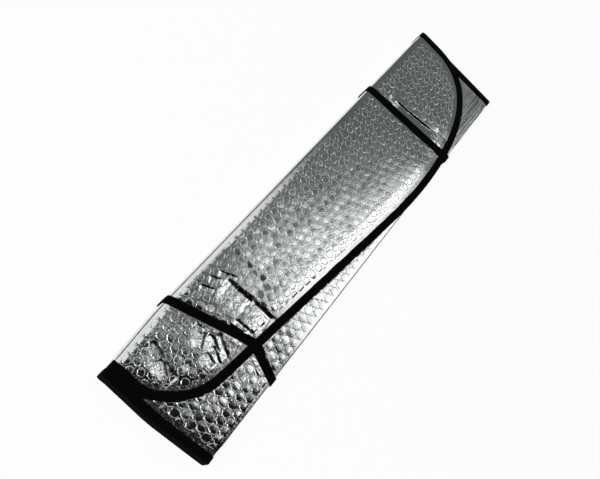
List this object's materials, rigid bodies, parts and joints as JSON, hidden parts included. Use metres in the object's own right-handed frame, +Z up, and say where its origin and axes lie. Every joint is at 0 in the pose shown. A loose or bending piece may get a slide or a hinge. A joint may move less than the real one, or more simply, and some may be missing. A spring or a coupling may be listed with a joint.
{
  "type": "windscreen sunshade",
  "caption": "Bubble-foil windscreen sunshade folded to and fro into a flat pack, with a bound edge and rounded outer panels, held shut by elastic loops.",
  "frame": {"origin": "middle of the underside of the pack's box, on the surface it lies on", "axes": "+X along the folds, towards the end where the top panel is narrowest; +Y across the panels, towards their free edges; +Z up"},
  "size_m": [0.605, 0.1348, 0.0242],
  "materials": {
    "foil": "bright metallised film on bubble wrap, slightly crinkled",
    "binding": "matte black woven tape",
    "elastic": "matte black ribbed elastic"
  },
  "bodies": {
    "root": {"foil_sheet": "foil", "edge_binding": "binding", "elastic_band_far": "elastic", "elastic_band_near": "elastic"}
  },
  "joints": []
}
